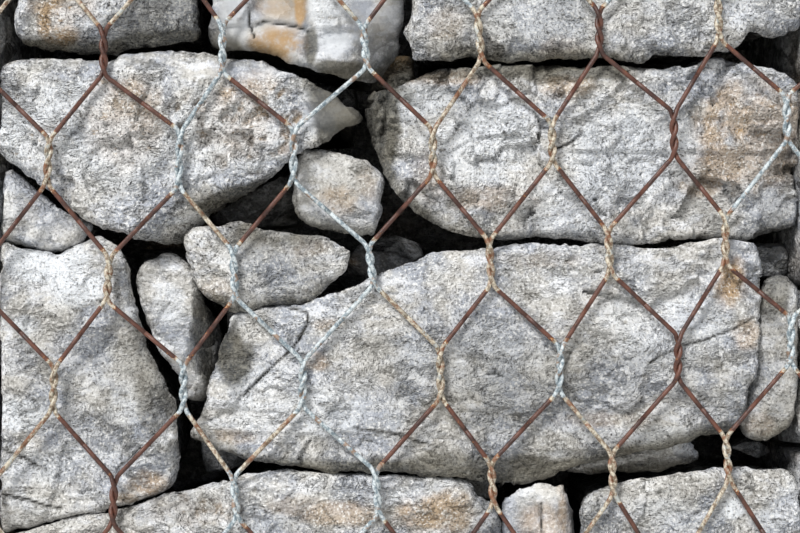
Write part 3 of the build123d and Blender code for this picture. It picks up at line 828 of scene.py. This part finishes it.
def rough_stone(points, triangles, seed, rings=RINGS):
    """A stone that fills a solid: in every direction it reaches the nearest of the solid's faces, softly
    blended by a high power, less a few more knocks, the joint and the broken surface. Rings of points run
    from pole to pole along Y."""
    rng = np.random.default_rng(seed)
    centre, corners, planes = planes_of(points, triangles)
    knocks = rng.normal(size=(KNOCKS, 3))
    knocks /= np.linalg.norm(knocks, axis=1, keepdims=True)
    reach = ((corners - centre) @ knocks.T).max(axis=0) * rng.uniform(0.88, 0.96, KNOCKS)
    planes = np.concatenate([planes, np.column_stack([knocks, reach])])

    latitude = np.pi * (np.arange(rings) + 0.5) / rings
    longitude = 2 * np.pi * np.arange(rings) / rings
    round_x = np.sin(latitude)[:, None] * np.cos(longitude)
    round_z = np.sin(latitude)[:, None] * np.sin(longitude)
    toward = np.stack([round_x, np.repeat(np.cos(latitude)[:, None], rings, axis=1), round_z], axis=2)
    half = (corners.max(axis=0) - corners.min(axis=0)) / 2
    toward = (toward * half).reshape(-1, 3)
    toward /= np.linalg.norm(toward, axis=1, keepdims=True)
    facing = np.maximum(toward @ planes[:, :3].T / planes[:, 3], 0)
    radius = (facing**BLEND_POWER).sum(axis=1) ** (-1 / BLEND_POWER)
    whole_radius = 1 / facing[:, :-KNOCKS].max(axis=1)
    outer = centre + toward * whole_radius[:, None]
    hidden = np.maximum(rise(buried(outer), 30, 60), 1 - rise(outer[:, 2], 8, 30))
    radius = radius + (whole_radius - radius) * hidden
    surface_points = centre + toward * radius[:, None]
    place = surface_points + (0, 0, ROUGH_APART * seed)
    relief = broken(place, 500 + 3 * seed, 1.1, 1.0, rng.uniform(1, 1.6))
    inset = np.maximum(JOINT + relief, 0.8) * (1 - hidden) - TOUCHING * hidden
    surface_points = surface_points - toward * inset[:, None]
    deep = buried(surface_points)
    skin = surface_points.reshape(rings, rings, 3)

    number = np.arange(rings * rings).reshape(rings, rings)
    after = np.roll(number, -1, axis=1)
    quads = np.stack([number[:-1], after[:-1], after[1:], number[1:]], axis=-1).reshape(-1, 4)
    poles = len(surface_points) + np.array([0, 1])
    fans = np.concatenate([
        np.stack([after[0], number[0], np.full(rings, poles[0])], axis=1),
        np.stack([number[-1], after[-1], np.full(rings, poles[1])], axis=1)])
    all_points = np.concatenate([surface_points, skin[:1].mean(axis=1), skin[-1:].mean(axis=1)])
    p, q, r, t = (all_points[quads[:, corner]] for corner in range(4))
    if (p * np.cross(q, r) + p * np.cross(r, t)).sum() < 0:
        quads, fans = quads[:, ::-1], fans[:, ::-1]
    stain = fractal(place, 60, 3, 900 + seed)
    # Deeper in the basket a stone is painted darker: painted shade.
    looks = {
        "ochre": rise(stain, 0.25, 0.9) * rng.uniform(0.2, 1),
        "pale": 0.8 * rise(fractal(place, 45, 3, 930 + seed), 0.1, 0.8),
        "coarse": np.full(len(place), 0.85),
        "tone": rng.uniform(-0.9, 0.1) - 0.4 * rise(fractal(place, 80, 2, 960 + seed), 0, 0.7),
        "grime_and_painted_shade": rise(deep, 16, 42) * 0.9 + rise(relief, 2.0, 6.0) * 0.1,
    }
    looks = {name: np.append(values, (values[0], values[-1])) for name, values in looks.items()}
    return all_points, quads, fans, looks


rough_names = {f"{side}_course_{course}": f"{side}_stones_{course}"
               for side in ("back", "left_end", "right_end") for course in (1, 2, 3, 4)}
rough_names["front_packing"] = "packing_stones"
seed = 0
for node, name in rough_names.items():
    skins = []
    for points, triangles in separate(node):
        seed += 1
        skins.append(rough_stone(points, triangles, seed))
    add_piece(name, skins, limestone, [node])


# The hearting: small stones dropped into the hollows that the back stones leave. The hollows are found on a
# grid across the wall's middle, as patches of cells that no back stone covers, and a stone fills the box of
# each patch. A few more lie deep in gaps of the front face, where the photo shows them.

CELL = 2.0
HEARTING_DEPTH = 85.0
HEARTING_RINGS = 28
HEARTING_SEED = 70


def hearting_stone(low, high, seed):
    """A small rough stone in a box of its own, painted darker than the others as painted shade, for it lies
    deep in the wall.
    """
    low, high = np.array([low, high], float)
    sign = np.array([[i, j, k] for i in (-1, 1) for j in (-1, 1) for k in (-1, 1)], float)
    points = (low + high) / 2 + sign * (high - low) / 2
    triangles = np.array([(0, 1, 3), (0, 3, 2), (4, 7, 5), (4, 6, 7), (0, 5, 1), (0, 4, 5),
                          (2, 3, 7), (2, 7, 6), (0, 2, 6), (0, 6, 4), (1, 5, 7), (1, 7, 3)])
    stone = rough_stone(points, triangles, seed, HEARTING_RINGS)
    stone[3]["tone"] = stone[3]["tone"] - 0.5
    return stone


back_nodes = [f"back_course_{course}" for course in (1, 2, 3, 4)]
back_boxes = np.array([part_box(node) for node in back_nodes]) / MM
low, high = back_boxes[:, 0].min(axis=0), back_boxes[:, 1].max(axis=0)
cell_x, cell_z = np.meshgrid(*(np.arange(low[axis], high[axis], CELL) + CELL / 2 for axis in (0, 2)))
cell_middles = np.stack([cell_x, np.full(cell_x.shape, low[1] + CELL), cell_z], axis=-1)
empty = np.ones(cell_x.shape, bool)
for node in back_nodes:
    for points, triangles in separate(node):
        centre, _, planes = planes_of(points, triangles)
        empty &= ((cell_middles - centre) @ planes[:, :3].T > planes[:, 3]).any(axis=-1)

# A patch counts as a hollow where it is three cells wide and high somewhere.
ring = np.pad(empty, 1)
wide = empty & ring[2:, 1:-1] & ring[:-2, 1:-1] & ring[1:-1, :-2] & ring[1:-1, 2:]
hearting = []
while wide.any():
    first = np.zeros_like(wide)
    first.flat[wide.argmax()] = True
    patch = reached(first, empty)
    wide &= ~patch
    x, z = cell_x[patch], cell_z[patch]
    hearting.append(hearting_stone((x.min() - CELL, low[1], z.min() - CELL),
                                   (x.max() + CELL, low[1] + HEARTING_DEPTH, z.max() + CELL),
                                   HEARTING_SEED + len(hearting)))

# Stones seen deep in the front: middle in the photo's pixels, half width, half height, front and back.
seen_deep = [(392, 65, 15, 12, -118, -40), (482, 496, 13, 9, -122, -50), (787, 260, 14, 12, -115, -45)]
for pixel_x, pixel_y, half_x, half_z, front, behind in seen_deep:
    x, z = on_face((pixel_x, pixel_y)) + (0, MIDDLE)
    hearting.append(hearting_stone((x - half_x, front, z - half_z), (x + half_x, behind, z + half_z),
                                   HEARTING_SEED + len(hearting)))
add_piece("hearting_stones", hearting, limestone, [])


# The mesh panels. Steel wires 3 mm thick run down each panel in pairs, twisted round each other for one and
# a half turns, then part and meet their other neighbours in the next row, so the holes are six-sided. The
# zinc is weathering off: rust, a dull tan film and bright flaking zinc lie side by side.

MESH = 80.0
TWIST = 36.0
TWIST_TURNS = 1.5
RISE = 38.0
PITCH = TWIST + RISE
WIRE = MESH_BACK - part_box("front_mesh")[0][1] / MM
EDGE_WIRE = 4.0
EDGE_BEND = 12.0
COATS = {"r": 0.0, "t": 0.5, "z": 1.0}

# A twist's ends stand off the regular net by up to LOOSE. Those in the photo stand about SEEN_LEFT to its
# left. Their neighbours follow them, less and less beyond SEEN_HALF, half the length that the photo shows.
LOOSE = 2.2
SEEN_LEFT = 10.0
SEEN_HALF = 262.0
NET_SEED = 60

galvanised = bpy.data.materials.new("weathered galvanised steel wire")
galvanised.use_nodes = True
tree = galvanised.node_tree
surface = tree.nodes["Principled BSDF"]
here = add_node(tree, "ShaderNodeTexCoord").outputs["Object"]
coat = add_node(tree, "ShaderNodeAttribute", attribute_name="coat").outputs["Fac"]
flake = add_node(tree, "ShaderNodeTexNoise", noise_lumps(2.4, 3, 0.7, here)).outputs["Fac"]
scale = add_node(tree, "ShaderNodeTexNoise", noise_lumps(8, 4, 0.65, here)).outputs["Fac"]
rust = tinted("#3c2621", scale, 0.35, 0.65, 1.0, "#653f32")
orange = tinted("#6f3e22", flake, 0.4, 0.6, 1.0, "#a8703c")
film = tinted("#776552", flake, 0.4, 0.6, 1.0, "#cbc3b1")
film = tinted(film, scale, 0.5, 0.36, 0.9, "#7a4c30")
film = tinted(film, scale, 0.56, 0.66, 0.8, "#a9b1b2")
zinc = tinted("#74838c", flake, 0.4, 0.6, 1.0, "#c9d1d4")
zinc = tinted(zinc, scale, 0.46, 0.36, 0.85, "#8c6f57")
ragged = add_node(tree, "ShaderNodeMath", {0: flake, 1: 0.9, 2: -0.45}, operation="MULTIPLY_ADD").outputs[0]
ragged = add_node(tree, "ShaderNodeMath", {0: ragged, 1: coat}, operation="ADD").outputs[0]
colour = tinted(rust, ragged, 0.14, 0.2, 1.0, orange)
colour = tinted(colour, ragged, 0.2, 0.32, 1.0, film)
colour = tinted(colour, ragged, 0.62, 0.84, 1.0, zinc)
bump = add_node(tree, "ShaderNodeBump", {"Height": flake, "Distance": 0.5 * MM})
tree.links.new(colour, surface.inputs["Base Color"])
tree.links.new(bump.outputs[0], surface.inputs["Normal"])
surface.inputs["Roughness"].default_value = 0.45


def tubes(paths, normal, radius, sides, coats, closed=False):
    """Round wires along many paths of as many points each, (paths, points, 3). Each point gets a ring of
    sides points, square to the path and measured from the panel's normal. Open ends are closed by fans."""
    count, steps = paths.shape[:2]
    if closed:
        run = np.roll(paths, -1, axis=1) - np.roll(paths, 1, axis=1)
    else:
        run = np.gradient(paths, axis=1)
    run = run / np.linalg.norm(run, axis=2, keepdims=True)
    across = np.cross(run, normal)
    across = across / np.linalg.norm(across, axis=2, keepdims=True)
    up = np.cross(across, run)
    turn = 2 * np.pi * np.arange(sides) / sides
    rings = paths[:, :, None] + radius * (np.cos(turn)[:, None] * across[:, :, None]
                                          + np.sin(turn)[:, None] * up[:, :, None])
    number = np.arange(count * steps * sides).reshape(count, steps, sides)
    after = np.roll(number, -1, axis=2)
    corners = np.stack([number, after, np.roll(after, -1, axis=1), np.roll(number, -1, axis=1)], axis=-1)
    quads = corners[:, :steps if closed else steps - 1].reshape(-1, 4)
    points, values = rings.reshape(-1, 3), np.repeat(coats.ravel(), sides)
    if closed:
        return points, quads, np.zeros((0, 3), int), {"coat": values}
    first = np.repeat(len(points) + np.arange(count), sides)
    fans = np.concatenate([
        np.stack([after[:, 0].ravel(), number[:, 0].ravel(), first], axis=1),
        np.stack([number[:, -1].ravel(), after[:, -1].ravel(), first + count], axis=1)])
    points = np.concatenate([points, paths[:, 0], paths[:, -1]])
    return points, quads, fans, {"coat": np.concatenate([values, coats[:, 0], coats[:, -1]])}


def panel_wires(across, up, origin, width, height, twists, samples, sides):
    """The wires of one panel, in its own plane. Two strands run through each twist: from the middle of a
    leaning wire down to the twist, round it as a helix, and on to the middle of the wire across. Past the
    edge wire they are held back, as if wrapped round it."""
    normal = np.cross(across, up)
    paths, coats = [], []
    lead = np.array([0.0, 0.33, 0.62, 0.82, 0.94])
    near = rise(lead, 0.78, 1.0)
    fine = np.linspace(0, 1, samples)
    angle = 2 * np.pi * TWIST_TURNS * fine
    # The paths are smoothed below, which draws a helix in, so it starts wider by what it will lose.
    helix = 0.5 * WIRE / (0.5 + 0.5 * np.cos(angle[1]))
    for top, bottom, corners, (own, upper_left, upper_right, lower_left, lower_right), hand in twists:
        strands = ((-1, corners[0], corners[3], upper_left, lower_right),
                   (1, corners[1], corners[2], upper_right, lower_left))
        for side, start, end, coat_start, coat_end in strands:
            twist = top + (bottom - top) * fine[:, None]
            twist[:, 0] += side * helix * np.cos(angle)
            head = start + (twist[0] - start) * lead[:, None]
            tail = end + (twist[-1] - end) * lead[::-1, None]
            out = np.concatenate([0 * lead, hand * side * helix * np.sin(angle), 0 * lead])
            path = np.column_stack([np.concatenate([head, twist, tail]), out])
            path[1:-1] = 0.25 * path[:-2] + 0.5 * path[1:-1] + 0.25 * path[2:]
            paths.append(path)
            coats.append(np.concatenate([coat_start + (own - coat_start) * near, np.full(samples, own),
                                         (coat_end + (own - coat_end) * near)[::-1]]))
    paths, coats = np.array(paths), np.array(coats)
    for axis, size in ((0, width), (1, height)):
        limit = size / 2 - EDGE_WIRE / 2
        past = np.abs(paths[..., axis]) - limit
        held = np.sign(paths[..., axis]) * (limit + 0.03 * np.maximum(past, 0))
        paths[..., 2] *= np.where(past > 0, 0.05, 1)
        paths[..., axis] = np.where(past > 0, held, paths[..., axis])
    world_paths = origin + paths[..., :1] * across + paths[..., 1:2] * up + paths[..., 2:] * normal
    return tubes(world_paths, normal, WIRE / 2, sides, coats)


# The twists that show in the photo, row by row from the top, in its pixels: middle of the top end, middle
# of the bottom end, and the coats of the twist, of the wire down to the left, and of that down to the right.
# The first stands just off the photo's left edge, where the rusty wire that shows there points.
seen_twists = {
    2: [(-17, 28, -17, 76, "rrr"), (103, 28, 103, 76, "rrr"), (222, 22, 222, 74, "zzr"),
        (363, 24, 367, 69, "zzr"), (477, 10, 482, 62, "ttr"), (599, 8, 600, 54, "rrr"),
        (718, -8, 720, 41, "trr")],
    1: [(49, 136, 46, 186, "trr"), (180, 129, 178, 189, "zrt"), (294, 127, 293, 183, "zrz"),
        (433, 127, 433, 177, "trr"), (552, 120, 553, 164, "trr"), (674, 110, 675, 158, "rrr"),
        (787, 94, 788, 143, "zzz")],
    0: [(109, 255, 106, 303, "trr"), (233, 248, 235, 300, "zrz"), (368, 244, 374, 287, "zzt"),
        (489, 238, 492, 287, "trr"), (608, 228, 611, 275, "trr"), (726, 215, 726, 266, "trr")],
    -1: [(54, 365, 52, 413, "ttr"), (183, 363, 183, 411, "zrt"), (303, 359, 302, 409, "ztz"),
         (440, 347, 441, 401, "trr"), (561, 345, 559, 394, "zrt"), (679, 334, 678, 382, "rrr"),
         (792, 316, 791, 366, "zrr")],
    -2: [(114, 477, 112, 527, "rrr"), (233, 475, 237, 521, "zzr"), (375, 469, 379, 517, "zzr"),
         (491, 461, 494, 508, "trr"), (612, 451, 614, 498, "ttr"), (726, 435, 730, 484, "ttr")],
}


def row_start(row, shift):
    """Where the middle twist of a row stands. Every other row is half a mesh over."""
    return shift + (MESH / 2 if row % 2 else 0)


def place_seen(seen, shift, drop):
    """The twists that are seen, by place on the regular net: their ends and coats, the places themselves,
    and how far each stands off its place."""
    ends, places, offsets = {}, [], []
    for row, line in seen.items():
        for x_top, y_top, x_bottom, y_bottom, codes in line:
            top, bottom = on_face([(x_top, y_top), (x_bottom, y_bottom)])
            middle = (top + bottom) / 2
            start = row_start(row, shift)
            column = round((middle[0] - start + SEEN_LEFT) / MESH)
            place = np.array([start + MESH * column, drop + PITCH * row])
            ends[place[0], row] = (top, bottom, codes)
            places.append(place)
            offsets.append(middle - place)
    return ends, np.array(places), np.array(offsets)


def net_twists(width, height, shift, drop, seen, seed):
    """Every twist of a panel, by column and row: its top and bottom end and its coats. They stand on a
    regular net, each a little off its place. Those that are seen stand there, and draw the others along."""
    rng = np.random.default_rng(seed)
    ends, places, offsets = place_seen(seen, shift, drop)
    last_row = int(height / 2 / PITCH + 0.45)
    half = TWIST / 2 - 2
    table = {}
    for row in range(-last_row, last_row + 1):
        for column in range(-8, 9):
            x, y = row_start(row, shift) + MESH * column, drop + PITCH * row
            if abs(x) > width / 2 + 2:
                continue
            jitter = rng.uniform(-LOOSE, LOOSE, 4)
            codes = rng.choice(list("rtz"), 3, p=(0.45, 0.37, 0.18))
            if (x, row) in ends:
                top, bottom, codes = ends[x, row]
            else:
                off = np.zeros(2)
                if len(places):
                    weight = 1 / np.hypot(*((x, y) - places).T) ** 3
                    fade = 1 - rise(np.array(abs(x)), SEEN_HALF, width / 2 - 20)
                    off = fade * (weight @ offsets) / weight.sum() * (1, 0.5 if abs(row) == 3 else 1)
                top = np.array([x, y + half]) + off + jitter[:2]
                bottom = np.array([x, y - half]) + off + jitter[2:]
            table[column + (0.5 if row % 2 else 0), row] = (top, bottom, codes)
    return table


def linked(table):
    """The twists with their four leaning wires: the point where each meets its neighbour's, halfway, and its
    coat, which is told with the upper twist of the two. A wire with no neighbour runs off the panel."""
    twists = []
    for (column, row), (top, bottom, codes) in table.items():
        corners, coats = [], [COATS[codes[0]]]
        for side, above in ((-0.5, 1), (0.5, 1), (-0.5, -1), (0.5, -1)):
            mine = top if above > 0 else bottom
            other = table.get((column + side, row + above))
            if other is None:
                theirs, code = mine + np.array([side * MESH, above * RISE]), codes[1]
            elif above > 0:
                theirs, code = other[1], other[2][2 if side < 0 else 1]
            else:
                theirs, code = other[0], codes[1 if side < 0 else 2]
            corners.append((mine + theirs) / 2)
            coats.append(COATS[code])
        twists.append((top, bottom, corners, coats, 1 if row % 2 else -1))
    return twists


def edge_loop(across, up, origin, width, height):
    """The thick wire round a panel: a rectangle with round corners, in pieces up to 25 mm long."""
    half_w, half_h = width / 2 - EDGE_WIRE / 2, height / 2 - EDGE_WIRE / 2
    path = []
    for sign_x, sign_y, begin in ((1, 1, 0), (-1, 1, 90), (-1, -1, 180), (1, -1, 270)):
        turn = np.radians(begin + 90 * np.linspace(0, 1, 5))
        path.append(np.column_stack([sign_x * (half_w - EDGE_BEND) + EDGE_BEND * np.cos(turn),
                                     sign_y * (half_h - EDGE_BEND) + EDGE_BEND * np.sin(turn)]))
    around = np.concatenate(path + [path[0][:1]])
    filled = []
    for a, b, length in zip(around, around[1:], np.hypot(*np.diff(around, axis=0).T)):
        pieces = max(1, int(length / 25))
        filled.append(a + (b - a) * (np.arange(pieces) / pieces)[:, None])
    path = np.concatenate(filled)
    coats = 0.25 + 0.6 * lumps(np.column_stack([path, np.full(len(path), width)]), 70, 5)
    world_path = origin + path[:, :1] * across + path[:, 1:] * up
    return tubes(world_path[None], np.cross(across, up), EDGE_WIRE / 2, 8, np.clip(coats, 0, 1)[None], True)


X, Y, Z = np.eye(3)

# Each panel: its directions across and up, where its net starts, the twists seen, points a twist, and sides.
panels = {
    "front_mesh": (X, Z, -20.0, -5.0, seen_twists, 17, 8),
    "back_mesh": (-X, Z, 20.0, -5.0, {}, 13, 6),
    "left_end_mesh": (-Y, Z, 40.0, 0.0, {}, 13, 6),
    "right_end_mesh": (Y, Z, 40.0, 0.0, {}, 13, 6),
    "lid_mesh": (X, Y, -20.0, 0.0, {}, 13, 6),
    "base_mesh": (X, Y, -20.0, 0.0, {}, 10, 5),
}
for seed, (node, (across, up, shift, drop, seen, samples, sides)) in enumerate(panels.items()):
    low, high = (np.array(corner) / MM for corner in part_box(node))
    origin = (low + high) / 2
    width, height = np.abs((high - low) @ across), (high - low) @ up
    edge_origin = origin.copy()
    if node == "base_mesh":
        origin[2], edge_origin[2] = WIRE, EDGE_WIRE / 2
    twists = linked(net_twists(width, height, shift, drop, seen, NET_SEED + seed))
    add_piece(node.replace("mesh", "wires"),
              [panel_wires(across, up, origin, width, height, twists, samples, sides),
               edge_loop(across, up, edge_origin, width, height)],
              galvanised, [node])


# The lacing: a thin galvanised wire that ties the panels together along the basket's twelve edges, wound
# round both edge wires as a long spring.

LACING = 2.2
LACING_RADIUS = 4.6
LACING_PITCH = 45.0


def lacing(start, end):
    """The wire along one edge: a helix round the straight line from start to end, with 14 points to a turn,
    pressed flat where it would go into the ground."""
    run = end - start
    length = np.linalg.norm(run)
    along = run / length
    side = np.cross(along, X if abs(along[0]) < 0.5 else Y)
    other = np.cross(along, side)
    turns = int(length / LACING_PITCH)
    part = np.linspace(0, 1, 14 * turns + 1)[:, None]
    angle = 2 * np.pi * turns * part
    path = start + part * run + LACING_RADIUS * (np.cos(angle) * side + np.sin(angle) * other)
    path[:, 2] = np.maximum(path[:, 2], LACING / 2)
    coats = np.clip(0.45 + 0.6 * lumps(path, 60, 9), 0, 1)
    return tubes(path[None], side, LACING / 2, 5, coats[None])


half_x, half_y = BASKET[0] - EDGE_WIRE / 2, BASKET[1] - EDGE_WIRE / 2
low_z, high_z = EDGE_WIRE / 2, 2 * MIDDLE - EDGE_WIRE / 2
edges = [((-half_x, y, z), (half_x, y, z)) for y in (-half_y, half_y) for z in (low_z, high_z)]
edges += [((x, -half_y, z), (x, half_y, z)) for x in (-half_x, half_x) for z in (low_z, high_z)]
edges += [((x, y, low_z), (x, y, high_z)) for x in (-half_x, half_x) for y in (-half_y, half_y)]
add_piece("lacing_wires", [lacing(np.array(start), np.array(end)) for start, end in edges], galvanised, [])


# The stage: a pale floor, an overcast sky, one soft lamp from above on the left, and the photo's camera,
# which looks straight at the middle of the face. None of it belongs to the object.
CAMERA_BACK = 900.0
FRAME_WIDTH = 800 * PIXEL


def add_stage(thing, name):
    """A stage object at the origin."""
    item = bpy.data.objects.new(name, thing)
    bpy.context.scene.collection.objects.link(item)
    return item


floor_mesh = bpy.data.meshes.new("floor")
floor_mesh.from_pydata([(-40, -40, 0), (40, -40, 0), (40, 40, 0), (-40, 40, 0)], [], [(0, 1, 2, 3)])
floor = add_stage(floor_mesh, "floor")
floor_paint = bpy.data.materials.new("pale matt floor")
floor_paint.use_nodes = True
floor_surface = floor_paint.node_tree.nodes["Principled BSDF"]
floor_surface.inputs["Base Color"].default_value = paint("#e4e3e0")
floor_surface.inputs["Roughness"].default_value = 0.9
floor_mesh.materials.append(floor_paint)

world = bpy.data.worlds.new("overcast sky")
bpy.context.scene.world = world
world.use_nodes = True
sky_light = world.node_tree.nodes["Background"]
sky_light.inputs["Color"].default_value = paint("#f3f6fa")
sky_light.inputs["Strength"].default_value = 0.52

sky = bpy.data.lights.new("bright cloud", "SUN")
sky.energy = 3.5
sky.angle = np.radians(17)
sky.color = (1.0, 0.985, 0.96)
sky_lamp = add_stage(sky, "bright cloud")
sky_lamp.rotation_euler = np.radians((42, -18, -14))

camera = bpy.data.cameras.new("camera")
camera.sensor_width = 36
camera.lens = camera.sensor_width * CAMERA_BACK / FRAME_WIDTH
camera_object = add_stage(camera, "camera")
camera_object.location = (0, (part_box("front_mesh")[0][1] / MM - CAMERA_BACK) * MM, MIDDLE * MM)
camera_object.rotation_euler = (np.radians(90), 0, 0)
bpy.context.scene.camera = camera_object
bpy.context.scene.view_settings.view_transform = "Standard"
